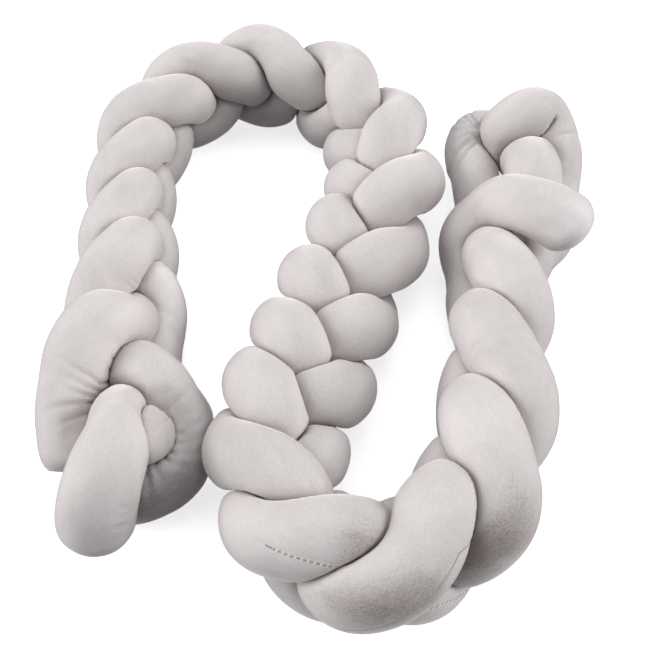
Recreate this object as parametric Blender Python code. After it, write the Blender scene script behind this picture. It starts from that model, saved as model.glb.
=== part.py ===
"""A crib bumper: three stuffed velvet tubes plaited together, knotted at both ends and laid in an S."""

import bmesh
import bpy
import numpy as np

MM = 0.001
TINY = 1e-6

# Sizes of one stuffed tube.
TUBE_RADIUS = 30.5 * MM
TUBE_END_LENGTH = 26 * MM
END_RADIUS_SHARE = 0.16
SIDES = 14
RING_SPACING = 16 * MM

# The plait: one lobe of each column for every lobe number of the route below.
LOBES_PER_TURN = 3
FIRST_TURN_SHARE = 0.75
STEPS_PER_LOBE = 8
POINTS_PER_LOBE = 4
SUNK_SHARE = 0.72

# How the soft tubes settle against each other and on the floor.
FINE_SPACING = 10 * MM
NEAREST_SHARE = 1.05
LOWEST_SHARE = 0.82
SETTLE_ROUNDS = 90
PUSH_SHARE = 0.35
SMOOTH_SHARE = 0.12
HOLD_SHARE = 0.03
OWN_TURN_LENGTH = 90 * MM
GAP = 0.8 * MM
CONTACT_REACH = 110 * MM
OWN_BEND_LENGTH = 16 * MM
EDGE_SHARPNESS = 9
BULGE_ROUNDS = 6
MOST_BULGE = 1.08
LEAST_PRESSED = 3 * MM
EASE_ROUNDS = 8
TEST_SPACING = 3 * MM

# The laid route, one row for each lobe. Roll 0 lies flat, and 90 or -90 stands on its edge. Spread
# is from the middle to each column of lobes, and tuck makes a tube dive at the edge or the middle.
ROUTE_COLUMNS = ("x_mm", "y_mm", "roll_deg", "spread_mm", "crossing_mm", "tuck", "radius_mm")
ROUTE = (
    (-190, -84, 72, 34, 13, 0.2, 28.5),
    (-193, -4, 66, 33, 12, 0.35, 28.5),
    (-205, 82, 74, 31, 11, 0.4, 25.5),
    (-211, 162, 82, 31, 11, 0.4, 26.5),
    (-201, 252, 90, 33, 14, 0.25, 28.5),
    (-142, 332, 102, 33, 17, 0.2, 29.0),
    (-54, 351, 104, 33, 18, 0.2, 30.0),
    (26, 296, 82, 34, 19, 0.1, 29.0),
    (60, 210, 50, 35, 22, 0, 29.5),
    (62, 130, 35, 36, 24, -0.1, 30.5),
    (37, 54, 12, 36, 27, -0.2, 30.5),
    (5, -28, -8, 36, 28, -0.2, 30.5),
    (-16, -104, -18, 36, 28, -0.2, 30.5),
    (-40, -170, -28, 34, 26, -0.1, 30.0),
    (-32, -245, -60, 32, 18, 0, 30.0),
    (26, -296, -72, 33, 14, 0.1, 31.0),
    (105, -258, -74, 29, 12, 0.15, 32.0),
    (144, -171, -84, 33, 12, 0.1, 32.0),
    (163, -62, -88, 33, 10, 0.2, 29.5),
    (184, 12, -85, 35, 11, 0, 30.0),
)

# Each tube's own way through the knots, from its end to the plait and from the plait to its end.
# The columns are x, y and z of the tube's middle and its radius, all in mm.
FIRST_KNOT = {
    "strand_a": (
        (-133, -184, 92, 27),
        (-146, -180, 70, 29),
        (-172, -178, 40, 30),
        (-200, -187, 33, 30),
        (-216, -184, 44, 31),
        (-220, -164, 60, 31),
        (-219, -140, 76, 31),
        (-215, -114, 92, 31),
        (-208, -94, 103, 30),
        (-198, -82, 106, 29),
        (-190, -70, 86, 28),
        (-188, -54, 58, 28),
    ),
    "strand_b": (
        (-206, -204, 31, 30),
        (-180, -208, 33, 30),
        (-153, -210, 42, 30),
        (-140, -204, 50, 30),
        (-131, -191, 60, 29),
        (-135, -168, 70, 29),
        (-146, -142, 78, 30),
        (-172, -114, 70, 30),
        (-198, -90, 50, 29),
        (-216, -62, 48, 28),
        (-220, -36, 66, 28),
    ),
    "strand_c": (
        (-188, -262, 40, 31),
        (-180, -252, 84, 31),
        (-168, -220, 106, 29.5),
        (-163, -184, 88, 25),
        (-168, -146, 48, 27),
        (-168, -112, 31, 28),
        (-168, -70, 31, 28),
        (-172, -28, 31, 28),
    ),
}
SECOND_KNOT = {
    "strand_a": (
        (158, 50, 31, 28),
        (166, 86, 50, 29),
        (180, 92, 84, 29),
        (200, 70, 106, 30),
        (228, 54, 106, 31),
        (260, 42, 88, 31),
    ),
    "strand_b": (
        (216, 75, 31, 29),
        (244, 115, 35, 29),
        (252, 168, 46, 29),
        (252, 206, 70, 30),
        (241, 233, 92, 32.5),
        (219, 214, 96, 32),
        (201, 210, 78, 30),
        (194, 212, 46, 28),
    ),
    "strand_c": (
        (172, 14, 74, 31),
        (167, 80, 42, 26),
        (172, 145, 40, 27),
        (169, 188, 48, 27),
        (165, 217, 54, 27),
        (175, 248, 56, 27),
        (198, 262, 42, 27),
        (222, 262, 32, 28),
        (228, 230, 36, 29),
        (226, 190, 62, 29),
        (222, 142, 90, 29),
        (220, 116, 78, 29),
        (224, 104, 46, 28),
    ),
}
PLAITED_LOBES = {"strand_a": (1.0, 18.0), "strand_b": (1.0, 19.0), "strand_c": (1.0, 18.5)}

GREIGE = (0.62, 0.58, 0.56, 1)


def clear_scene():
    for obj in list(bpy.data.objects):
        bpy.data.objects.remove(obj)


def smooth_line(points, steps):
    """A smooth line through the points, with this many steps between two of them."""
    points = np.asarray(points, float)
    ends = (2 * points[:1] - points[1:2], 2 * points[-1:] - points[-2:-1])
    padded = np.concatenate((ends[0], points, ends[1]))
    t = np.linspace(0, 1, steps, endpoint=False)[:, None]
    pieces = []
    for before, start, stop, after in zip(padded, padded[1:], padded[2:], padded[3:]):
        pieces.append(
            start
            + 0.5 * t * (stop - before)
            + t**2 * (before - 2.5 * start + 2 * stop - 0.5 * after)
            + 0.5 * t**3 * (after - before + 3 * (start - stop))
        )
    return np.concatenate((*pieces, points[-1:]))


def evenly_spaced(line, spacing):
    """The same line with points at an even distance. A fourth column, the radius, goes along."""
    lengths = np.linalg.norm(np.diff(line[:, :3], axis=0), axis=1)
    along = np.concatenate(([0], np.cumsum(lengths)))
    count = max(int(round(along[-1] / spacing)), 2) + 1
    wanted = np.linspace(0, along[-1], count)
    return np.column_stack([np.interp(wanted, along, column) for column in line.T])


def unit(vectors):
    return vectors / np.linalg.norm(vectors, axis=-1, keepdims=True)


def plaited_line(number, first_lobe, last_lobe):
    """The middle line and the radius of one tube along the plait."""
    rows = smooth_line(ROUTE, STEPS_PER_LOBE)
    lobes = np.linspace(0, len(ROUTE) - 1, len(rows))
    row = dict(zip(ROUTE_COLUMNS, rows.T[:, :, None]))
    roll = np.radians(row["roll_deg"])
    spread = row["spread_mm"] * MM
    crossing = row["crossing_mm"] * MM
    radius = row["radius_mm"] * MM
    ground = np.column_stack((row["x_mm"], row["y_mm"], 0 * roll)) * MM
    travel = unit(np.gradient(ground, axis=0))
    up = np.array((0.0, 0.0, 1.0))
    right = np.cross(travel, up)
    across = np.cos(roll) * right - np.sin(roll) * up
    out = np.cos(roll) * up + np.sin(roll) * right
    height = (
        LOWEST_SHARE * radius
        + spread * np.abs(np.sin(roll))
        + SUNK_SHARE * crossing * np.abs(np.cos(roll))
    )
    turn = 2 * np.pi * ((lobes - number) / LOBES_PER_TURN + FIRST_TURN_SHARE)[:, None]
    over = np.sin(2 * turn) - row["tuck"] * np.sin(4 * turn)
    line = ground + height * up + spread * np.sin(turn) * across - crossing * over * out
    return np.column_stack((line, radius))[(lobes >= first_lobe) & (lobes <= last_lobe)]


def tube_line(name, number):
    plait = plaited_line(number, *PLAITED_LOBES[name])[:: STEPS_PER_LOBE // POINTS_PER_LOBE]
    points = np.concatenate(
        (np.array(FIRST_KNOT[name]) * MM, plait, np.array(SECOND_KNOT[name]) * MM)
    )
    return evenly_spaced(smooth_line(points, STEPS_PER_LOBE), FINE_SPACING)


def settle(lines):
    """Moves the middle lines apart where two soft tubes would share the same place."""
    sizes = [len(line) for line in lines]
    radii = np.concatenate(lines)[:, 3]
    points = np.concatenate(lines)[:, :3]
    tube = np.repeat(np.arange(len(lines)), sizes)
    order = np.concatenate([np.arange(size) for size in sizes])
    same = tube[:, None] == tube[None, :]
    near = np.abs(order[:, None] - order[None, :]) * FINE_SPACING < OWN_TURN_LENGTH
    skip = same & near
    nearest = NEAREST_SHARE * (radii[:, None] + radii[None, :]) / 2
    last = np.cumsum(sizes) - 1
    inner = order > 0
    inner[last] = False
    start = points.copy()
    for _ in range(SETTLE_ROUNDS):
        apart = points[:, None] - points[None, :]
        distance = np.linalg.norm(apart, axis=2)
        distance[skip] = 1
        lack = np.clip(nearest - distance, 0, None)
        closest = np.argmax(lack, axis=1)
        rows = np.arange(len(points))
        push = lack[rows, closest] / np.clip(distance[rows, closest], MM, None)
        points = points + PUSH_SHARE * push[:, None] * apart[rows, closest]
        middle = (np.roll(points, 1, axis=0) + np.roll(points, -1, axis=0)) / 2
        points[inner] += SMOOTH_SHARE * (middle - points)[inner]
        points += HOLD_SHARE * (start - points)
        points[:, 2] = np.maximum(points[:, 2], LOWEST_SHARE * radii)
    settled = np.column_stack((points, radii))
    return np.split(settled, np.cumsum(sizes)[:-1])


def end_radii(line):
    """The radius at each ring, round at both ends."""
    lengths = np.linalg.norm(np.diff(line[:, :3], axis=0), axis=1)
    along = np.concatenate(([0], np.cumsum(lengths)))
    to_end = np.minimum(along, along[-1] - along)
    share = np.clip(to_end / TUBE_END_LENGTH, 0, 1)
    return line[:, 3] * np.maximum(np.sqrt(1 - (1 - share) ** 2), END_RADIUS_SHARE)


def tube_mesh(name, line, radii):
    """An open round tube along the line, as rings of SIDES points."""
    curve = bpy.data.curves.new(name + "_line", "CURVE")
    curve.dimensions = "3D"
    curve.twist_mode = "MINIMUM"
    curve.bevel_depth = TUBE_RADIUS
    curve.bevel_resolution = (SIDES - 4) // 2
    spline = curve.splines.new("POLY")
    spline.points.add(len(line) - 1)
    for point, place, radius in zip(spline.points, line[:, :3], radii):
        point.co = (*place, 1)
        point.radius = radius / TUBE_RADIUS
    guide = bpy.data.objects.new(name + "_line", curve)
    bpy.context.scene.collection.objects.link(guide)
    graph = bpy.context.evaluated_depsgraph_get()
    mesh = bpy.data.meshes.new_from_object(guide.evaluated_get(graph))
    bpy.data.objects.remove(guide)
    mesh.name = name
    return mesh


def contact_limits(centre, directions, others):
    """How far each direction runs before it meets another tube's half of the space between."""
    away = others - centre
    facing = directions @ away.T + GAP / 2
    limit = ((away**2).sum(axis=1) - GAP**2 / 4) / (2 * np.clip(facing, TINY, None))
    return np.where(facing > TINY, limit, np.inf).min(axis=1)


def pressed_ring(centre, directions, radius, limits):
    """Radii of one ring: pressed where it touches, and bulged elsewhere to keep its length round."""
    round_length = 2 * np.pi * radius
    bulge = 1.0
    for _ in range(BULGE_ROUNDS):
        full = radius * bulge
        pressed = (full**-EDGE_SHARPNESS + limits**-EDGE_SHARPNESS) ** (-1 / EDGE_SHARPNESS)
        corners = directions * pressed[:, None]
        length = np.linalg.norm(corners - np.roll(corners, 1, axis=0), axis=1).sum()
        bulge = min(bulge * round_length / length, MOST_BULGE)
    down = -directions[:, 2]
    floor = np.where(down > TINY, centre[2] / np.clip(down, TINY, None), np.inf)
    return np.minimum(pressed, floor)


def nearest(points, axes):
    """How far each point lies from the nearest of the axis points."""
    squares = (points**2).sum(axis=1)[:, None] + (axes**2).sum(axis=1) - 2 * points @ axes.T
    return np.sqrt(np.clip(squares.min(axis=1), 0, None))


def past_middle(points, own, others):
    """How far each point lies past the middle between its own tube and the nearest other one."""
    flat = points.reshape(-1, 3)
    past = (nearest(flat, own) - nearest(flat, others) + GAP) / 2
    return np.clip(past, 0, None).reshape(points.shape[:-1])


def ease_facets(rings, centres, own, others):
    """Draws in the corners of each flat facet that would cut into the next tube."""
    for _ in range(EASE_ROUNDS):
        around = (rings + np.roll(rings, -1, axis=1)) / 2
        along = past_middle((rings[:-1] + rings[1:]) / 2, own, others)
        faces = past_middle((around[:-1] + around[1:]) / 2, own, others)
        need = past_middle(around, own, others)
        need[:-1] = np.maximum(need[:-1], faces)
        need[1:] = np.maximum(need[1:], faces)
        need = np.maximum(need, np.roll(need, 1, axis=1))
        need = np.maximum(need, past_middle(rings, own, others))
        need[:-1] = np.maximum(need[:-1], along)
        need[1:] = np.maximum(need[1:], along)
        spokes = rings - centres
        reach = np.linalg.norm(spokes, axis=2)
        wanted = np.maximum(reach - need, np.minimum(reach, LEAST_PRESSED))
        rings[:] = centres + spokes * (wanted / reach)[:, :, None]


def press_tube(mesh, number, lines):
    """Presses a round tube against its neighbours, against its own turns and on the floor."""
    rings = np.empty(len(mesh.vertices) * 3)
    mesh.vertices.foreach_get("co", rings)
    rings = rings.reshape(-1, SIDES, 3)
    axes_of_all = [line[:, :3] for line in lines]
    own = axes_of_all.pop(number)
    others = np.concatenate(axes_of_all)
    order = np.arange(len(own)) * FINE_SPACING
    centres = rings.mean(axis=1, keepdims=True)
    for ring, centre in zip(rings, centres[:, 0]):
        directions = unit(ring - centre)
        here = order[np.argmin(np.linalg.norm(own - centre, axis=1))]
        far_own = own[np.abs(order - here) > OWN_BEND_LENGTH]
        axes = np.concatenate((others, far_own))
        axes = axes[np.linalg.norm(axes - centre, axis=1) < CONTACT_REACH]
        limits = np.clip(contact_limits(centre, directions, axes), LEAST_PRESSED, None)
        radius = np.linalg.norm(ring - centre, axis=1).mean()
        ring[:] = centre + directions * pressed_ring(centre, directions, radius, limits)[:, None]
    fine_own = evenly_spaced(own, TEST_SPACING)
    fine_others = [evenly_spaced(line, TEST_SPACING) for line in axes_of_all]
    ease_facets(rings, centres, fine_own, np.concatenate(fine_others))
    rings[:, :, 2] = np.maximum(rings[:, :, 2], 0)
    mesh.vertices.foreach_set("co", rings.ravel())


def close_ends(mesh):
    shape = bmesh.new()
    shape.from_mesh(mesh)
    bmesh.ops.holes_fill(shape, edges=shape.edges, sides=0)
    bmesh.ops.recalc_face_normals(shape, faces=shape.faces)
    shape.to_mesh(mesh)
    shape.free()


def centre_on_floor(meshes):
    """Moves the meshes so that their common box is centred over the origin and stands on the floor."""
    points = np.array([vertex.co for mesh in meshes for vertex in mesh.vertices])
    low, high = points.min(axis=0), points.max(axis=0)
    move = np.array((-(low[0] + high[0]) / 2, -(low[1] + high[1]) / 2, -low[2]))
    for mesh in meshes:
        for vertex in mesh.vertices:
            vertex.co = np.array(vertex.co) + move


def velvet(name):
    material = bpy.data.materials.new(name)
    material.use_nodes = True
    shader = material.node_tree.nodes["Principled BSDF"]
    shader.inputs["Base Color"].default_value = GREIGE
    shader.inputs["Roughness"].default_value = 0.9
    shader.inputs["Sheen Weight"].default_value = 0.3
    return material


def build():
    clear_scene()
    group = bpy.data.collections.new("crib_bumper")
    bpy.context.scene.collection.children.link(group)
    names = tuple(PLAITED_LOBES)
    lines = settle([tube_line(name, number) for number, name in enumerate(names)])
    meshes = []
    for number, name in enumerate(names):
        rings = evenly_spaced(lines[number], RING_SPACING)
        mesh = tube_mesh(name, rings, end_radii(rings))
        press_tube(mesh, number, lines)
        close_ends(mesh)
        mesh.materials.append(velvet(name + "_velvet"))
        mesh.shade_smooth()
        meshes.append(mesh)
    centre_on_floor(meshes)
    for name, mesh in zip(names, meshes):
        group.objects.link(bpy.data.objects.new(name, mesh))


build()
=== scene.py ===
"""The looks of the plaited crib bumper: three stuffed velvet tubes, knotted and laid in an S."""

import math

import bmesh
import bpy
import numpy as np
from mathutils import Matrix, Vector, noise

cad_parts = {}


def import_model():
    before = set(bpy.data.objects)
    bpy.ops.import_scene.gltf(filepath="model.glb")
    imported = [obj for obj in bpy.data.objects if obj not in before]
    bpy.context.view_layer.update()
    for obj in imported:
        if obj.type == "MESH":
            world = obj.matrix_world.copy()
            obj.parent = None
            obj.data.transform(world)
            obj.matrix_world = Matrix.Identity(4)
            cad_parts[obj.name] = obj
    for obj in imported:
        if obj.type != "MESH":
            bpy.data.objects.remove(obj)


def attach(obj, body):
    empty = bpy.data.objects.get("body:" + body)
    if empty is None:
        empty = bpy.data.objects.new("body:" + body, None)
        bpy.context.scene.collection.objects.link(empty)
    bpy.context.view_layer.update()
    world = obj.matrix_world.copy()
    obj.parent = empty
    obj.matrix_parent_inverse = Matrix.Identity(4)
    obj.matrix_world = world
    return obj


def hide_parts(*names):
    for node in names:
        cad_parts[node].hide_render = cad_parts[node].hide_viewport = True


MM = 0.001
TINY = 1e-6

# Sizes of one stuffed tube, which is built of rings with this many sides.
TUBE_RADIUS = 30.5 * MM
TUBE_END_LENGTH = 26 * MM
END_RADIUS_SHARE = 0.05
SIDES = 34
RING_SPACING = 4.0 * MM
STEPS_PER_POINT = 4

# The plait: a tube swings from side to side and back once in three lobes, and the next tube follows
# one lobe behind. A plait that lies flat rests on this share of the height of its crossings.
LOBES_PER_TURN = 3
FIRST_TURN_SHARE = 0.75
STEPS_PER_LOBE = 8
POINTS_PER_LOBE = 4
SUNK_SHARE = 0.72

# How the soft tubes settle. Each round pushes apart two middle lines that are too near for their
# radii, smooths them and holds them near their place. A tube takes no notice of its own near bends.
FINE_SPACING = 10 * MM
NEAREST_SHARE = 1.05
LOWEST_SHARE = 0.82
SETTLE_ROUNDS = 90
PUSH_SHARE = 0.35
SMOOTH_SHARE = 0.12
HOLD_SHARE = 0.03
OWN_TURN_LENGTH = 90 * MM

# How they press flat on each other and on the floor, with a gap for the contact. The flat's edge is
# rounded, and the rest of the ring bulges until the cloth is as long round the tube as before.
GAP = 0.5 * MM
CONTACT_REACH = 110 * MM
OWN_BEND_LENGTH = 12 * MM
EDGE_SHARPNESS = 10
BULGE_ROUNDS = 6
MOST_BULGE = 1.1
LEAST_PRESSED = 3 * MM

# The velvet skin, which swells under its stuffing. Its cloth is cut longer than the middle line of
# a bend, by this share of what the outside of the bend needs more.
SURPLUS_SHARE = 0.5
CLOTH_MASS = 0.02
CLOTH_BENDING = 0.1
CLOTH_STEPS = 20
STUFFING_PRESSURE = 4
MOST_SHIFT = 6 * MM

# What is sunk into the swollen skin. A crease is narrow at its root and bows away from the middle of
# its fan. How uneven it is comes from a noise, read per metre along, per crease, and in one layer.
CREASE_WIDTH = 1.7 * MM
CREASE_ROOT_WIDTH_SHARE = 0.6
CREASE_BOW = 0.15
CREASE_UNEVENNESS = 0.5
CREASE_NOISE = (90, 3.7, 1.3)
SEAM_WIDTH = 1.6 * MM
SEAM_DEPTH = 0.6 * MM
SEAM_FADE = 12 * MM
GATHER_PLEATS = 11
GATHER_LENGTH = 7 * MM
GATHER_DEPTH = 0.8 * MM
UNDERSIDE_ROUNDS = 60

# The lumps of the stuffing: how wide and how high. The last number keeps the three tubes unlike.
LUMPS = ((46 * MM, 1.6 * MM), (19 * MM, 0.5 * MM))
LUMP_LAYER = 17.3

# The pile of the velvet. Each patch: its size in mm, its detail and its share. The patches are a
# little longer along the tube, the way the cloth was knitted.
PILE_PATCHES = ((34, 2, 1), (8, 3, 0.26), (1.0, 2, 0.45))
PILE_EDGES = {"Roughness": 0.6, "Distortion": 0.4}
PILE_DIRECTION = (0.85, 1, 1)
PILE_LENGTH = 1.2 * MM
NAP_BUMP = 0.55
# Its shade, from pile that leans away from the eye, through flat and standing pile, to the palest.
# Painted shade and painted light move the pile along these shades.
PILE_SHADES = ((0, "#847c7a"), (0.33, "#bfb9b9"), (0.64, "#d4cece"), (1, "#f2eded"))
# Flat pile is a little rougher than standing pile, and the tips catch the light as a pale bloom.
FLAT_ROUGHNESS = 0.98
STANDING_ROUGHNESS = 0.86
SPECULAR_LEVEL = 0.15
BLOOM = 0.9
BLOOM_ROUGHNESS = 0.4
BLOOM_COLOUR = "#fdf7f5"

# The seam and its hand stitches. Each mark is full within its first distance in mm, and gone at its
# second.
SEAM_SHADOW = "#938b8c"
SEAM_SHADOW_MM = (0.2, 1.1)
THREAD = "#dcd6d5"
THREAD_THICKNESS = 0.6 * MM
THREAD_BUMP = 0.45
THREAD_MM = (0.33, 0.99)
STITCH_PITCH_MM = 3.3
STITCH_REACH_MM = (1.2, 2.0)
STITCH_SLANT = 0.35
# Each tube was turned and stuffed through a gap in its seam, which was then closed by hand.
TURNING_GAPS_MM = {"strand_a": (1300, 1400), "strand_b": (1822, 1985), "strand_c": (1340, 1440)}
# Elsewhere the seam is lost in the pile, except on the outside of these bends, which pull it open.
OPEN_SEAMS_MM = {"strand_a": (0, 60), "strand_b": (1818, 1990), "strand_c": (1893, 1992)}

# The route was drawn before the plait was centred: this brings it to the shared frame.
CENTRING = (-15.5 * MM, -26.2 * MM, 0.0)

# The laid route, one row for each lobe. Roll 0 lies flat, and 90 or -90 stands on its edge. Spread
# is from the middle to each column of lobes, and tuck makes a tube dive at the edge or the middle.
ROUTE_COLUMNS = ("x_mm", "y_mm", "roll_deg", "spread_mm", "crossing_mm", "tuck", "radius_mm")
ROUTE = (
    (-190, -84, 72, 34, 13, 0.2, 28.5),
    (-193, -4, 66, 33, 12, 0.35, 28.5),
    (-205, 82, 74, 31, 11, 0.4, 25.5),
    (-211, 162, 82, 31, 11, 0.4, 26.5),
    (-201, 252, 90, 33, 14, 0.25, 28.5),
    (-142, 332, 102, 33, 17, 0.2, 29.0),
    (-54, 351, 104, 33, 18, 0.2, 30.0),
    (26, 296, 82, 34, 19, 0.1, 29.0),
    (60, 210, 50, 35, 22, 0, 29.5),
    (62, 130, 35, 36, 24, -0.1, 30.5),
    (37, 54, 12, 36, 27, -0.2, 30.5),
    (5, -28, -8, 36, 28, -0.2, 30.5),
    (-16, -104, -18, 36, 28, -0.2, 30.5),
    (-40, -170, -28, 34, 26, -0.1, 30.0),
    (-32, -245, -60, 32, 18, 0, 30.0),
    (26, -296, -72, 33, 14, 0.1, 31.0),
    (105, -258, -74, 29, 12, 0.15, 32.0),
    (144, -171, -84, 33, 12, 0.1, 32.0),
    (163, -62, -88, 33, 10, 0.2, 29.5),
    (184, 12, -85, 35, 11, 0, 30.0),
)

# Each tube's own way through the knots, from its end to the plait and from the plait to its end.
# The columns are x, y and z of the tube's middle and its radius, all in mm.
FIRST_KNOT = {
    "strand_a": (
        (-133, -184, 92, 27),
        (-146, -180, 70, 29),
        (-172, -178, 40, 30),
        (-200, -187, 33, 30),
        (-216, -184, 44, 31),
        (-220, -164, 60, 31),
        (-219, -140, 76, 31),
        (-215, -114, 92, 31),
        (-208, -94, 103, 30),
        (-198, -82, 106, 29),
        (-190, -70, 86, 28),
        (-188, -54, 58, 28),
    ),
    "strand_b": (
        (-206, -204, 31, 30),
        (-180, -208, 33, 30),
        (-153, -210, 42, 30),
        (-140, -204, 50, 30),
        (-131, -191, 60, 29),
        (-135, -168, 70, 29),
        (-146, -142, 78, 30),
        (-172, -114, 70, 30),
        (-198, -90, 50, 29),
        (-216, -62, 48, 28),
        (-220, -36, 66, 28),
    ),
    "strand_c": (
        (-188, -262, 40, 31),
        (-180, -252, 84, 31),
        (-168, -220, 106, 29.5),
        (-163, -184, 88, 25),
        (-168, -146, 48, 27),
        (-168, -112, 31, 28),
        (-168, -70, 31, 28),
        (-172, -28, 31, 28),
    ),
}
SECOND_KNOT = {
    "strand_a": (
        (158, 50, 31, 28),
        (166, 86, 50, 29),
        (180, 92, 84, 29),
        (200, 70, 106, 30),
        (228, 54, 106, 31),
        (260, 42, 88, 31),
    ),
    "strand_b": (
        (216, 75, 31, 29),
        (244, 115, 35, 29),
        (252, 168, 46, 29),
        (252, 206, 70, 30),
        (241, 233, 92, 32.5),
        (219, 214, 96, 32),
        (201, 210, 78, 30),
        (194, 212, 46, 28),
    ),
    "strand_c": (
        (172, 14, 74, 31),
        (167, 80, 42, 26),
        (172, 145, 40, 27),
        (169, 188, 48, 27),
        (165, 217, 54, 27),
        (175, 248, 56, 27),
        (198, 262, 42, 27),
        (222, 262, 32, 28),
        (228, 230, 36, 29),
        (226, 190, 62, 29),
        (222, 142, 90, 29),
        (220, 116, 78, 29),
        (224, 104, 46, 28),
    ),
}
PLAITED_LOBES = {"strand_a": (1.0, 18.0), "strand_b": (1.0, 19.0), "strand_c": (1.0, 18.5)}

# Where the lengthwise seam runs: 0 is the underside, and 90 is its right as the tube runs on.
SEAM_COLUMNS = ("tube", "along_mm", "turn_deg")
SEAM = (
    ("strand_a", 0, -60),
    ("strand_a", 300, 0),
    ("strand_b", 0, 0),
    ("strand_b", 1720, 0),
    ("strand_b", 1816, -136),
    ("strand_b", 1856, -113),
    ("strand_b", 1940, -118),
    ("strand_b", 1970, -96),
    ("strand_b", 2150, 0),
    ("strand_c", 0, 0),
    ("strand_c", 1780, 0),
    ("strand_c", 1909, -88),
    ("strand_c", 1935, -108),
    ("strand_c", 1965, -118),
    ("strand_c", 2100, 0),
)

# Fans of creases, each round the inside of a tight bend. The roots lie this share of the spacing
# apart, and the far ends the whole of it.
CREASE_COLUMNS = (
    "tube",
    "along_mm",
    "turn_deg",
    "count",
    "spacing_mm",
    "length_mm",
    "depth_mm",
    "root_share",
)
CREASES = (
    ("strand_a", 150, -118, 6, 11, 42, 4.6, 0.6),
    ("strand_a", 188, -98, 2, 15, 12, 1.6, 0.8),
    ("strand_a", 1625, 160, 3, 8, 11, 1.3, 0.8),
    ("strand_b", 80, 186, 8, 10, 36, 4.2, 0.7),
    ("strand_b", 106, -170, 1, 10, 42, 2.6, 0.8),
    ("strand_b", 131, 180, 3, 13, 28, 2.4, 0.8),
    ("strand_b", 328, -98, 3, 9, 13, 1.6, 0.8),
    ("strand_b", 2184, 115, 3, 10, 19, 2.0, 0.8),
    ("strand_b", 2566, -150, 1, 10, 34, 3.4, 0.8),
    ("strand_c", 46, -112, 3, 9, 13, 1.5, 0.8),
    ("strand_c", 342, -121, 3, 10, 18, 2.0, 0.8),
    ("strand_c", 654, -93, 3, 9, 15, 1.8, 0.8),
    ("strand_c", 2000, 150, 2, 12, 13, 1.6, 0.8),
    ("strand_c", 2572, 188, 8, 13, 54, 8.5, 0.3),
)

# Patches of painted shade, where shade falls between the tubes, and of painted light (below 0).
# It brightens lobes and ends that the lamps leave in shade. Some dark ones also stand for crushed
# pile.
PAINTED_SHADE_AND_LIGHT_COLUMNS = ("tube", "along_mm", "turn_deg", "length_mm", "width_mm", "share")
PAINTED_SHADE_AND_LIGHT = (
    ("strand_a", 1252, 104, 26, 20, 0.16),
    ("strand_a", 1626, 130, 40, 30, 0.14),
    ("strand_a", 2026, -138, 36, 24, 0.46),
    ("strand_a", 2572, -112, 34, 44, -0.45),
    ("strand_b", 75, -118, 42, 20, 0.24),
    ("strand_b", 1866, -140, 13, 24, 0.24),
    ("strand_b", 2180, 165, 60, 40, 0.1),
    ("strand_c", 318, -128, 60, 26, -0.35),
    ("strand_c", 1923, -118, 34, 21, 0.4),
    ("strand_c", 2556, 140, 60, 44, -0.42),
)

# The camera stands in front of the laid bumper and looks down at it, as in the photograph.
PHOTO_SIDE_PIXELS = 650
FOCAL_PIXELS = 900
SENSOR_WIDTH_MM = 36
CAMERA_DISTANCE = 936 * MM
CAMERA_ELEVATION_DEG = 49.73

# Plain soft studio light: the side each lamp shines from, how wide it looks and its strength.
LIGHT_COLUMNS = ("lamp", "shines_from", "width_deg", "strength")
LIGHTS = (
    ("left_softbox", (-1.5, -0.15, 0.58), 50, 3.1),
    ("right_softbox", (1.5, -0.05, 0.6), 50, 2.9),
    ("overhead_softbox", (-0.1, 0.35, 1.4), 70, 1.2),
)
STUDIO_BRIGHTNESS = 0.12

# The floor is matt white paper, just under the bumper, so that the two faces never coincide.
FLOOR_SIZE = 8
FLOOR_DROP = 0.4 * MM
PAPER_WHITE = "#fcfbfb"
PAPER_ROUGHNESS = 0.9
PAPER_GLOW = 0.7
WHITE = "#ffffff"


def linear(hex_colour):
    """An sRGB hex colour as the linear numbers that a shader takes."""
    values = [int(hex_colour[i : i + 2], 16) / 255 for i in (1, 3, 5)]
    return [v / 12.92 if v <= 0.04045 else ((v + 0.055) / 1.055) ** 2.4 for v in values] + [1]


def carried_on(rows):
    """The same rows with one more at each end, where the line would run on straight."""
    return np.concatenate((2 * rows[:1] - rows[1:2], rows, 2 * rows[-1:] - rows[-2:-1]))


def smooth_line(points, steps):
    """A Catmull-Rom line through the points, with this many steps between two of them."""
    points = np.asarray(points, float)
    padded = carried_on(points)
    t = np.linspace(0, 1, steps, endpoint=False)[:, None]
    pieces = []
    for before, start, stop, after in zip(padded, padded[1:], padded[2:], padded[3:]):
        pieces.append(
            start
            + 0.5 * t * (stop - before)
            + t**2 * (before - 2.5 * start + 2 * stop - 0.5 * after)
            + 0.5 * t**3 * (after - before + 3 * (start - stop))
        )
    return np.concatenate((*pieces, points[-1:]))


def distance_along(line):
    """How far along the line each of its points lies."""
    steps = np.linalg.norm(np.diff(line[:, :3], axis=0), axis=1)
    return np.concatenate(([0], np.cumsum(steps)))


def evenly_spaced(line, spacing):
    """The same line with points at an even distance. A fourth column, the radius, goes along."""
    along = distance_along(line)
    count = max(int(round(along[-1] / spacing)), 2) + 1
    wanted = np.linspace(0, along[-1], count)
    return np.column_stack([np.interp(wanted, along, column) for column in line.T])


def unit(vectors):
    """The same directions, each one metre long."""
    return vectors / np.linalg.norm(vectors, axis=-1, keepdims=True)


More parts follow.
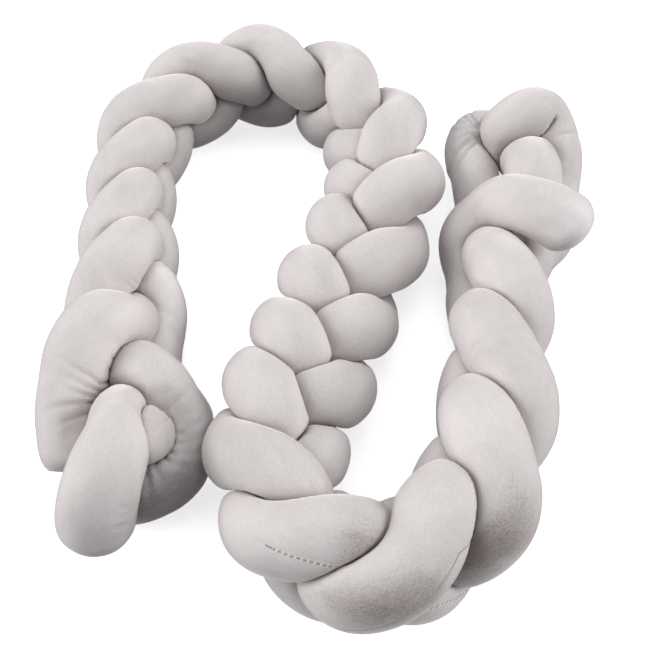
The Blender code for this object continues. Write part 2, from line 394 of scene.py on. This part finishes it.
def plaited_line(number, first_lobe, last_lobe):
    """The middle line and the radius of one tube along the plait."""
    rows = smooth_line(ROUTE, STEPS_PER_LOBE)
    lobes = np.linspace(0, len(ROUTE) - 1, len(rows))
    row = dict(zip(ROUTE_COLUMNS, rows.T[:, :, None]))
    roll = np.radians(row["roll_deg"])
    spread = row["spread_mm"] * MM
    crossing = row["crossing_mm"] * MM
    radius = row["radius_mm"] * MM
    ground = np.column_stack((row["x_mm"], row["y_mm"], 0 * roll)) * MM
    travel = unit(np.gradient(ground, axis=0))
    up = np.array((0.0, 0.0, 1.0))
    right = np.cross(travel, up)
    across = np.cos(roll) * right - np.sin(roll) * up
    out = np.cos(roll) * up + np.sin(roll) * right
    height = (
        LOWEST_SHARE * radius
        + spread * np.abs(np.sin(roll))
        + SUNK_SHARE * crossing * np.abs(np.cos(roll))
    )
    turn = 2 * np.pi * ((lobes - number) / LOBES_PER_TURN + FIRST_TURN_SHARE)[:, None]
    over = np.sin(2 * turn) - row["tuck"] * np.sin(4 * turn)
    line = ground + height * up + spread * np.sin(turn) * across - crossing * over * out
    return np.column_stack((line, radius))[(lobes >= first_lobe) & (lobes <= last_lobe)]


def tube_line(name, number):
    """The middle line of one whole tube: first knot, plait and second knot."""
    plait = plaited_line(number, *PLAITED_LOBES[name])[:: STEPS_PER_LOBE // POINTS_PER_LOBE]
    points = np.concatenate(
        (np.array(FIRST_KNOT[name]) * MM, plait, np.array(SECOND_KNOT[name]) * MM)
    )
    return evenly_spaced(smooth_line(points, STEPS_PER_LOBE), FINE_SPACING)


def settle(lines):
    """Moves the middle lines apart where two soft tubes would share the same place."""
    sizes = [len(line) for line in lines]
    radii = np.concatenate(lines)[:, 3]
    points = np.concatenate(lines)[:, :3]
    tube = np.repeat(np.arange(len(lines)), sizes)
    order = np.concatenate([np.arange(size) for size in sizes])
    same = tube[:, None] == tube[None, :]
    near = np.abs(order[:, None] - order[None, :]) * FINE_SPACING < OWN_TURN_LENGTH
    skip = same & near
    nearest = NEAREST_SHARE * (radii[:, None] + radii[None, :]) / 2
    last = np.cumsum(sizes) - 1
    inner = order > 0
    inner[last] = False
    start = points.copy()
    for _ in range(SETTLE_ROUNDS):
        apart = points[:, None] - points[None, :]
        distance = np.linalg.norm(apart, axis=2)
        distance[skip] = 1
        lack = np.clip(nearest - distance, 0, None)
        closest = np.argmax(lack, axis=1)
        rows = np.arange(len(points))
        push = lack[rows, closest] / np.clip(distance[rows, closest], MM, None)
        points = points + PUSH_SHARE * push[:, None] * apart[rows, closest]
        middle = (np.roll(points, 1, axis=0) + np.roll(points, -1, axis=0)) / 2
        points[inner] += SMOOTH_SHARE * (middle - points)[inner]
        points += HOLD_SHARE * (start - points)
        points[:, 2] = np.maximum(points[:, 2], LOWEST_SHARE * radii)
    settled = np.column_stack((points + CENTRING, radii))
    return np.split(settled, np.cumsum(sizes)[:-1])


def end_radii(line):
    """The radius at each ring, round at both ends."""
    along = distance_along(line)
    to_end = np.minimum(along, along[-1] - along)
    share = np.clip(to_end / TUBE_END_LENGTH, 0, 1)
    return line[:, 3] * np.maximum(np.sqrt(1 - (1 - share) ** 2), END_RADIUS_SHARE)


def tube_mesh(name, line, radii):
    """An open round tube along the line, as rings of SIDES points."""
    curve = bpy.data.curves.new(name + "_line", "CURVE")
    curve.dimensions = "3D"
    curve.twist_mode = "MINIMUM"
    curve.bevel_depth = TUBE_RADIUS
    # A round bevel has four sides, and two more for each step of its resolution.
    curve.bevel_resolution = (SIDES - 4) // 2
    spline = curve.splines.new("POLY")
    spline.points.add(len(line) - 1)
    for point, place, radius in zip(spline.points, line[:, :3], radii):
        point.co = (*place, 1)
        point.radius = radius / TUBE_RADIUS
    guide = bpy.data.objects.new(name + "_line", curve)
    bpy.context.scene.collection.objects.link(guide)
    graph = bpy.context.evaluated_depsgraph_get()
    mesh = bpy.data.meshes.new_from_object(guide.evaluated_get(graph))
    bpy.data.objects.remove(guide)
    mesh.name = name
    return mesh


def contact_limits(centre, directions, others):
    """How far each direction runs before it meets another tube's half of the space between."""
    away = others - centre
    facing = directions @ away.T + GAP / 2
    limit = ((away**2).sum(axis=1) - GAP**2 / 4) / (2 * np.clip(facing, TINY, None))
    return np.where(facing > TINY, limit, np.inf).min(axis=1)


def pressed_ring(centre, directions, radius, limits):
    """Radii of one ring, pressed where it touches and bulged elsewhere."""
    round_length = 2 * np.pi * radius
    bulge = 1.0
    for _ in range(BULGE_ROUNDS):
        full = radius * bulge
        pressed = (full**-EDGE_SHARPNESS + limits**-EDGE_SHARPNESS) ** (-1 / EDGE_SHARPNESS)
        corners = directions * pressed[:, None]
        length = np.linalg.norm(corners - np.roll(corners, 1, axis=0), axis=1).sum()
        bulge = min(bulge * round_length / length, MOST_BULGE)
    down = -directions[:, 2]
    floor = np.where(down > TINY, centre[2] / np.clip(down, TINY, None), np.inf)
    return np.minimum(pressed, floor)


def read_rings(mesh):
    """The points of an unfinished skin, ring by ring."""
    rings = np.empty(len(mesh.vertices) * 3)
    mesh.vertices.foreach_get("co", rings)
    return rings.reshape(-1, SIDES, 3)


def space_around(centre, directions, number, lines):
    """How far each direction of a ring runs before it meets a neighbour or the tube's next turn."""
    own = lines[number][:, :3]
    others = np.concatenate([line[:, :3] for i, line in enumerate(lines) if i != number])
    order = np.arange(len(own)) * FINE_SPACING
    here = order[np.argmin(np.linalg.norm(own - centre, axis=1))]
    far_own = own[np.abs(order - here) > OWN_BEND_LENGTH]
    axes = np.concatenate((others, far_own))
    axes = axes[np.linalg.norm(axes - centre, axis=1) < CONTACT_REACH]
    return np.clip(contact_limits(centre, directions, axes), LEAST_PRESSED, None)


def press_tube(mesh, number, lines):
    """Presses a round tube against its neighbours, against its own turns and on the floor."""
    rings = read_rings(mesh)
    centres = rings.mean(axis=1)
    for ring, centre in zip(rings, centres):
        directions = unit(ring - centre)
        limits = space_around(centre, directions, number, lines)
        radius = np.linalg.norm(ring - centre, axis=1).mean()
        ring[:] = centre + directions * pressed_ring(centre, directions, radius, limits)[:, None]
    rings[:, :, 2] = np.maximum(rings[:, :, 2], 0)
    mesh.vertices.foreach_set("co", rings.ravel())
    return centres


def on_straight_tube(along, radius, turn):
    """Points of a straight tube, from how far along and how far round they lie."""
    return np.stack((along, radius * np.cos(turn), radius * np.sin(turn)), axis=2)


def laid_straight(rings):
    """The same skin laid straight, as it was cut: longer than the middle line of its bends."""
    along = np.linalg.norm(np.diff(rings, axis=0), axis=2)
    step = along.mean(axis=1) + SURPLUS_SHARE * (along.max(axis=1) - along.mean(axis=1))
    place = np.concatenate(([0], np.cumsum(step)))[:, None]
    around = np.linalg.norm(rings - np.roll(rings, -1, axis=1), axis=2).sum(axis=1)
    radius = around[:, None] / (2 * np.pi)
    turn = np.linspace(0, 2 * np.pi, SIDES, endpoint=False)
    return on_straight_tube(place + 0 * turn, radius, turn)


def swell_cloth(tube):
    """Cloth simulation: the stuffing presses the skin out, most where nothing holds it."""
    pressed = read_rings(tube.data)
    tube.shape_key_add(name="laid")
    straight = tube.shape_key_add(name="straight")
    straight.data.foreach_set("co", laid_straight(pressed).ravel())
    straight.value = 0
    skin = tube.modifiers.new("skin", "CLOTH").settings
    skin.rest_shape_key = straight
    skin.mass = CLOTH_MASS
    skin.bending_stiffness = CLOTH_BENDING
    skin.use_pressure = True
    skin.uniform_pressure_force = STUFFING_PRESSURE
    skin.effector_weights.gravity = 0
    scene = bpy.context.scene
    for step in range(1, CLOTH_STEPS + 1):
        scene.frame_set(step)
    swollen = tube.evaluated_get(bpy.context.evaluated_depsgraph_get())
    shift = read_rings(swollen.to_mesh()) - pressed
    swollen.to_mesh_clear()
    tube.modifiers.clear()
    tube.shape_key_clear()
    scene.frame_set(1)
    length = np.clip(np.linalg.norm(shift, axis=2, keepdims=True), TINY, None)
    rings = pressed + shift * MOST_SHIFT * np.tanh(length / MOST_SHIFT) / length
    tube.data.vertices.foreach_set("co", rings.ravel())


def midway(before, start, stop, after):
    """The point of a smooth line halfway between start and stop."""
    return (9 * (start + stop) - before - after) / 16


def finer_along(rows):
    """Twice as many rows, on the same smooth surface or line."""
    padded = carried_on(rows)
    fine = np.empty((2 * len(rows) - 1, *rows.shape[1:]))
    fine[::2] = rows
    fine[1::2] = midway(padded[:-3], padded[1:-2], padded[2:-1], padded[3:])
    return fine


def finer(rings):
    """Twice as many rings with twice as many points, on the same smooth surface."""
    along = finer_along(rings)
    back, ahead, next_ahead = (np.roll(along, shift, axis=1) for shift in (1, -1, -2))
    between = midway(back, along, ahead, next_ahead)
    return np.stack((along, between), axis=2).reshape(len(along), -1, 3)


def row_by_row(name, table, columns):
    """The rows of a table that belong to this tube, with named columns."""
    return [dict(zip(columns, row)) for row in table if row[0] == name]


def wrapped(turn):
    """The same turn between half a turn back and half a turn ahead."""
    return (turn + np.pi) % (2 * np.pi) - np.pi


def cloth_places(name, rings, centres):
    """Where each point lies on the cloth: how far along, and its turn from the underside."""
    travel = unit(np.gradient(centres, axis=0))
    down = travel * travel[:, 2:] - (0, 0, 1)
    for _ in range(UNDERSIDE_ROUNDS):
        down[1:-1] = (down[:-2] + 2 * down[1:-1] + down[2:]) / 4
    down = unit(down - travel * (down * travel).sum(axis=1)[:, None])
    side = np.cross(travel, down)
    spokes = rings - centres[:, None]
    turn = np.arctan2((spokes * side[:, None]).sum(axis=2), (spokes * down[:, None]).sum(axis=2))
    return distance_along(centres)[:, None] + 0 * turn, turn


def seam_turn(name, along):
    """How far the seam has turned from the underside at each place along the tube."""
    rows = row_by_row(name, SEAM, SEAM_COLUMNS)
    places = [row["along_mm"] * MM for row in rows]
    return np.radians(np.interp(along, places, [row["turn_deg"] for row in rows]))


def seam_share(name, along):
    """How far the bends pull the seam open."""
    start, stop = OPEN_SEAMS_MM[name]
    inside = np.minimum(along - start * MM, stop * MM - along)
    return np.clip(1 + inside / SEAM_FADE, 0, 1)


def crease_depth(name, rings, along, turn):
    """How deep the cloth lies in its creases, which run round the inside of a bend as rings do."""
    per_metre, per_crease, layer = CREASE_NOISE
    step = np.linalg.norm(np.gradient(rings, axis=0), axis=2)
    stretch = step / np.gradient(along[:, 0])[:, None]
    depth = np.zeros(along.shape)
    for row in row_by_row(name, CREASES, CREASE_COLUMNS):
        middle = row["along_mm"] * MM
        arc = np.abs(wrapped(turn - np.radians(row["turn_deg"]))) * TUBE_RADIUS
        for number in range(row["count"]):
            sway = noise.noise(Vector((middle * per_metre, number * per_crease, layer)))
            sway *= CREASE_UNEVENNESS
            length = row["length_mm"] * MM * (1 + sway)
            spread = row["root_share"] + (1 - row["root_share"]) * arc / length
            aside = (number - (row["count"] - 1) / 2 + sway) * row["spacing_mm"] * MM
            place = middle + aside * spread
            bow = (CREASE_BOW * arc**2 / length) * np.sign(place - middle)
            width = CREASE_WIDTH * (CREASE_ROOT_WIDTH_SHARE + arc / length)
            across = (along - place - bow) * stretch / width
            fade = np.clip(1 - arc / length, 0, 1)
            depth = np.maximum(depth, row["depth_mm"] * MM * fade * np.exp(-(across**2)))
    return depth


def painted_shade_share(name, along, turn):
    """How much painted shade each point gets; below 0 it is painted light instead."""
    share = np.zeros(along.shape)
    for row in row_by_row(name, PAINTED_SHADE_AND_LIGHT, PAINTED_SHADE_AND_LIGHT_COLUMNS):
        ahead = (along - row["along_mm"] * MM) / (row["length_mm"] * MM)
        aside = wrapped(turn - np.radians(row["turn_deg"])) * TUBE_RADIUS / (row["width_mm"] * MM)
        share += row["share"] * np.exp(-(ahead**2) - aside**2)
    return share


def gathered_ends(along, turn):
    """How deep the short pleats lie round each end, which was drawn together by hand."""
    to_end = np.minimum(along, along.max() - along)
    fade = np.exp(-((to_end / GATHER_LENGTH) ** 2))
    pleats = (1 + np.cos(GATHER_PLEATS * turn)) / 2
    return GATHER_DEPTH * fade * pleats


def stuffing_lumps(number, along, turn):
    """How far the skin swells or sinks, because the loose fibre lies unevenly."""
    places = on_straight_tube(along, TUBE_RADIUS, turn)
    lumps = np.zeros(along.shape)
    for size, height in LUMPS:
        points = (places / size + number * LUMP_LAYER).reshape(-1, 3)
        lumps += height * np.array([noise.noise(point) for point in points]).reshape(along.shape)
    return lumps


def sew_and_crease(name, number, rings, centres, lines):
    """Adds the seam, the creases, the gathers and the lumps, and keeps the tube in its space."""
    along, turn = cloth_places(name, rings, centres)
    from_seam = wrapped(turn - seam_turn(name, along))
    sunk = crease_depth(name, rings, along, turn) + gathered_ends(along, turn)
    groove = np.exp(-((from_seam * TUBE_RADIUS / SEAM_WIDTH) ** 2))
    sunk += SEAM_DEPTH * seam_share(name, along) * groove
    sunk -= stuffing_lumps(number, along, turn)
    for i, (ring, centre) in enumerate(zip(rings, centres)):
        reach = np.linalg.norm(ring - centre, axis=1)
        directions = (ring - centre) / reach[:, None]
        limits = space_around(centre, directions, number, lines)
        wanted = np.clip(reach - sunk[i], np.minimum(reach, LEAST_PRESSED), limits)
        ring[:] = centre + directions * wanted[:, None]
    rings[:, :, 2] = np.maximum(rings[:, :, 2], 0)
    places = on_straight_tube(along, TUBE_RADIUS, from_seam)
    return rings, places, painted_shade_share(name, along, turn)


def skin_mesh(name, rings, places, painted_light_and_shade):
    """The finished skin: one closed mesh, each point of which knows its place on the cloth."""
    index = np.arange(rings[:, :, 0].size).reshape(rings.shape[:2])
    beside = np.roll(index, -1, axis=1)
    quads = np.stack((index[:-1], beside[:-1], beside[1:], index[1:]), axis=2)
    mesh = bpy.data.meshes.new(name)
    mesh.from_pydata(rings.reshape(-1, 3), [], quads.reshape(-1, 4).tolist())
    cloth = mesh.attributes.new("cloth_place", "FLOAT_VECTOR", "POINT")
    cloth.data.foreach_set("vector", places.ravel())
    # Each point's painted shade, with painted light below 0, which the velvet reads.
    pile = mesh.attributes.new("painted_light_and_shade", "FLOAT", "POINT")
    pile.data.foreach_set("value", painted_light_and_shade.ravel())
    close_ends(mesh)
    mesh.shade_smooth()
    return mesh


def close_ends(mesh):
    """Closes the last ring at each end, and turns all faces outwards."""
    shape = bmesh.new()
    shape.from_mesh(mesh)
    bmesh.ops.holes_fill(shape, edges=shape.edges, sides=0)
    bmesh.ops.recalc_face_normals(shape, faces=shape.faces)
    shape.to_mesh(mesh)
    shape.free()


def add_node(tree, kind, settings, *sources):
    """Adds a node, sets its fields and inputs, and links each (input, source) to it."""
    node = tree.nodes.new(kind)
    for key, value in settings.items():
        if hasattr(node, str(key)):
            setattr(node, key, value)
        else:
            node.inputs[key].default_value = value
    for key, source in sources:
        tree.links.new(source, node.inputs[key])
    return node


def pile_height(tree, place):
    """Where the pile stands or lies flat: wide patches that count most, marks and the grain."""
    lengthwise = add_node(tree, "ShaderNodeMapping", {"Scale": PILE_DIRECTION}, ("Vector", place))
    height = None
    for size, detail, share in PILE_PATCHES:
        patch = add_node(
            tree,
            "ShaderNodeTexNoise",
            {"Scale": 1 / size, "Detail": detail, **PILE_EDGES},
            ("Vector", lengthwise.outputs["Vector"]),
        ).outputs["Fac"]
        if height is None:
            height = patch
            continue
        mixed = add_node(tree, "ShaderNodeMix", {"Factor": share}, ("A", height), ("B", patch))
        height = mixed.outputs["Result"]
    return height


def within(tree, along, stretch):
    """1 along this stretch of the tube, and 0 elsewhere."""
    start, stop = stretch
    ends = {"operation": "COMPARE", 1: (start + stop) / 2, 2: (stop - start) / 2}
    return add_node(tree, "ShaderNodeMath", ends, (0, along)).outputs["Value"]


def seam_and_stitches(tree, place, name):
    """How much of a point is in the open seam, and how much on a stitch of the closed gap."""
    parts = add_node(tree, "ShaderNodeSeparateXYZ", {}, ("Vector", place)).outputs
    # The seam lies where Z is 0, and the side of the tube across from it has a Y below 0.
    seam_side = add_node(
        tree, "ShaderNodeMath", {"operation": "GREATER_THAN", 1: 0}, (0, parts["Y"])
    ).outputs["Value"]
    off_seam = add_node(tree, "ShaderNodeMath", {"operation": "ABSOLUTE"}, (0, parts["Z"]))
    slant = add_node(
        tree,
        "ShaderNodeMath",
        {"operation": "MULTIPLY_ADD", 1: STITCH_SLANT},
        (0, parts["Z"]),
        (2, parts["X"]),
    )
    off_stitch = add_node(
        tree,
        "ShaderNodeMath",
        {"operation": "PINGPONG", 1: STITCH_PITCH_MM / 2},
        (0, slant.outputs["Value"]),
    )
    marks = []
    for source, (full, gone) in (
        (off_seam, SEAM_SHADOW_MM),
        (off_seam, STITCH_REACH_MM),
        (off_stitch, THREAD_MM),
    ):
        ramp = {"interpolation_type": "SMOOTHSTEP", 1: full, 2: gone, 3: 1, 4: 0}
        mark = add_node(tree, "ShaderNodeMapRange", ramp, (0, source.outputs["Value"]))
        marks.append(mark.outputs["Result"])
    seam, near_seam, thread = marks
    in_gap = within(tree, parts["X"], TURNING_GAPS_MM[name])
    pulled_open = within(tree, parts["X"], OPEN_SEAMS_MM[name])
    shown = add_node(
        tree, "ShaderNodeMath", {"operation": "MAXIMUM"}, (0, in_gap), (1, pulled_open)
    ).outputs["Value"]
    shares = []
    for share, *limits in ((seam, seam_side, shown), (near_seam, thread, seam_side, in_gap)):
        for limit in limits:
            cut = add_node(
                tree, "ShaderNodeMath", {"operation": "MULTIPLY"}, (0, share), (1, limit)
            )
            share = cut.outputs["Value"]
        shares.append(share)
    return shares


def velvet(name):
    """Short-pile velvet, knitted and sheared: matt seen square on, with a pale bloom at its edges.

    Its pile lies flat in places, which gives soft darker and paler patches; painted shade and
    painted light add more. A tuft of pile is about 0.3 mm wide, too fine to show, so the grain is
    drawn 1 mm wide.
    """
    material = bpy.data.materials.new(name + "_pile")
    material.use_nodes = True
    tree = material.node_tree
    shader = tree.nodes["Principled BSDF"]
    shader.inputs["Sheen Weight"].default_value = BLOOM
    shader.inputs["Sheen Roughness"].default_value = BLOOM_ROUGHNESS
    shader.inputs["Sheen Tint"].default_value = linear(BLOOM_COLOUR)
    shader.inputs["Specular IOR Level"].default_value = SPECULAR_LEVEL

    cloth = add_node(tree, "ShaderNodeAttribute", {"attribute_name": "cloth_place"})
    in_mm = add_node(
        tree,
        "ShaderNodeVectorMath",
        {"operation": "SCALE", "Scale": 1 / MM},
        (0, cloth.outputs["Vector"]),
    )
    place = in_mm.outputs["Vector"]
    height = pile_height(tree, place)
    seam, stitch = seam_and_stitches(tree, place, name)

    # Painted shade and painted light: darker where shade falls between tubes, paler where lamps
    # miss.
    painted_light_and_shade = add_node(tree, "ShaderNodeAttribute", {"attribute_name": "painted_light_and_shade"})
    pile_with_painted_shade = add_node(
        tree, "ShaderNodeMath", {"operation": "SUBTRACT"}, (0, height), (1, painted_light_and_shade.outputs["Fac"])
    )
    shades = add_node(tree, "ShaderNodeValToRGB", {}, ("Fac", pile_with_painted_shade.outputs["Value"]))
    ramp = shades.color_ramp.elements
    # A new ramp has a stop at each end, so only those between are added.
    for position, _ in PILE_SHADES[1:-1]:
        ramp.new(position)
    for stop, (_, shade) in zip(ramp, PILE_SHADES):
        stop.color = linear(shade)
    colour = shades.outputs["Color"]
    for share, shade in ((seam, SEAM_SHADOW), (stitch, THREAD)):
        mixed = add_node(
            tree, "ShaderNodeMix", {"data_type": "RGBA", 7: linear(shade)}, (0, share), (6, colour)
        )
        colour = mixed.outputs[2]
    tree.links.new(colour, shader.inputs["Base Color"])

    roughness = add_node(
        tree, "ShaderNodeMapRange", {3: FLAT_ROUGHNESS, 4: STANDING_ROUGHNESS}, (0, height)
    )
    tree.links.new(roughness.outputs["Result"], shader.inputs["Roughness"])
    nap = add_node(
        tree, "ShaderNodeBump", {"Strength": NAP_BUMP, "Distance": PILE_LENGTH}, ("Height", height)
    )
    raised = add_node(
        tree,
        "ShaderNodeBump",
        {"Strength": THREAD_BUMP, "Distance": THREAD_THICKNESS},
        ("Height", stitch),
        ("Normal", nap.outputs["Normal"]),
    )
    tree.links.new(raised.outputs["Normal"], shader.inputs["Normal"])
    return material


def stuffed_tubes():
    """The three velvet skins, each in the place of its plain solid."""
    names = tuple(PLAITED_LOBES)
    lines = settle([tube_line(name, number) for number, name in enumerate(names)])
    for number, name in enumerate(names):
        middle = evenly_spaced(smooth_line(lines[number], STEPS_PER_POINT), RING_SPACING)
        mesh = tube_mesh(name + "_tube", middle, end_radii(middle))
        centres = press_tube(mesh, number, lines)
        close_ends(mesh)
        tube = bpy.data.objects.new(name + "_tube", mesh)
        bpy.context.scene.collection.objects.link(tube)
        swell_cloth(tube)
        rings = finer(read_rings(mesh))
        skin = sew_and_crease(name, number, rings, finer_along(centres), lines)
        tube.data = skin_mesh(name + "_skin", *skin)
        bpy.data.meshes.remove(mesh)
        tube.data.materials.append(velvet(name))
        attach(tube, "root")
        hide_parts(name)


def paper_floor():
    """White paper, lit from below so that the ground of the picture is white."""
    bpy.ops.mesh.primitive_plane_add(size=FLOOR_SIZE, location=(0, 0, -FLOOR_DROP))
    sheet = bpy.context.object
    sheet.name = "pale_floor"
    bpy.ops.object.transform_apply(location=True)
    paper = bpy.data.materials.new("white_paper")
    paper.use_nodes = True
    shader = paper.node_tree.nodes["Principled BSDF"]
    shader.inputs["Base Color"].default_value = linear(PAPER_WHITE)
    shader.inputs["Roughness"].default_value = PAPER_ROUGHNESS
    shader.inputs["Emission Color"].default_value = linear(WHITE)
    shader.inputs["Emission Strength"].default_value = PAPER_GLOW
    sheet.data.materials.append(paper)
    # The paper throws no light up under the tubes, which would lose their dark undersides.
    sheet.visible_diffuse = False


def studio_light():
    """Two low softboxes at the sides, a weaker one overhead, and a little light from all round."""
    for row in LIGHTS:
        lamp = dict(zip(LIGHT_COLUMNS, row))
        softbox = bpy.data.lights.new(lamp["lamp"], "SUN")
        softbox.angle = math.radians(lamp["width_deg"])
        softbox.energy = lamp["strength"]
        light = bpy.data.objects.new(lamp["lamp"], softbox)
        light.location = lamp["shines_from"]
        light.rotation_euler = (-light.location).to_track_quat("-Z", "Y").to_euler()
        bpy.context.scene.collection.objects.link(light)
    world = bpy.data.worlds.new("studio")
    world.use_nodes = True
    air = world.node_tree.nodes["Background"]
    air.inputs["Color"].default_value = linear(WHITE)
    air.inputs["Strength"].default_value = STUDIO_BRIGHTNESS
    bpy.context.scene.world = world
    # White paper stays white, as in a studio photograph.
    bpy.context.scene.view_settings.view_transform = "Standard"


def photo_camera():
    """The camera at the photograph's angle, aimed at the middle of the route."""
    elevation = math.radians(CAMERA_ELEVATION_DEG)
    aim = Vector(CENTRING)
    back = Vector((0, -math.cos(elevation), math.sin(elevation)))
    data = bpy.data.cameras.new("photo_camera")
    data.sensor_width = SENSOR_WIDTH_MM
    data.lens = SENSOR_WIDTH_MM * FOCAL_PIXELS / PHOTO_SIDE_PIXELS
    camera = bpy.data.objects.new("photo_camera", data)
    camera.location = aim + back * CAMERA_DISTANCE
    camera.rotation_euler = (-back).to_track_quat("-Z", "Y").to_euler()
    bpy.context.scene.collection.objects.link(camera)
    bpy.context.scene.camera = camera


def main():
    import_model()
    bpy.ops.object.select_all(action="DESELECT")
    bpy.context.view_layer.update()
    stuffed_tubes()
    paper_floor()
    studio_light()
    photo_camera()
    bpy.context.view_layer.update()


main()
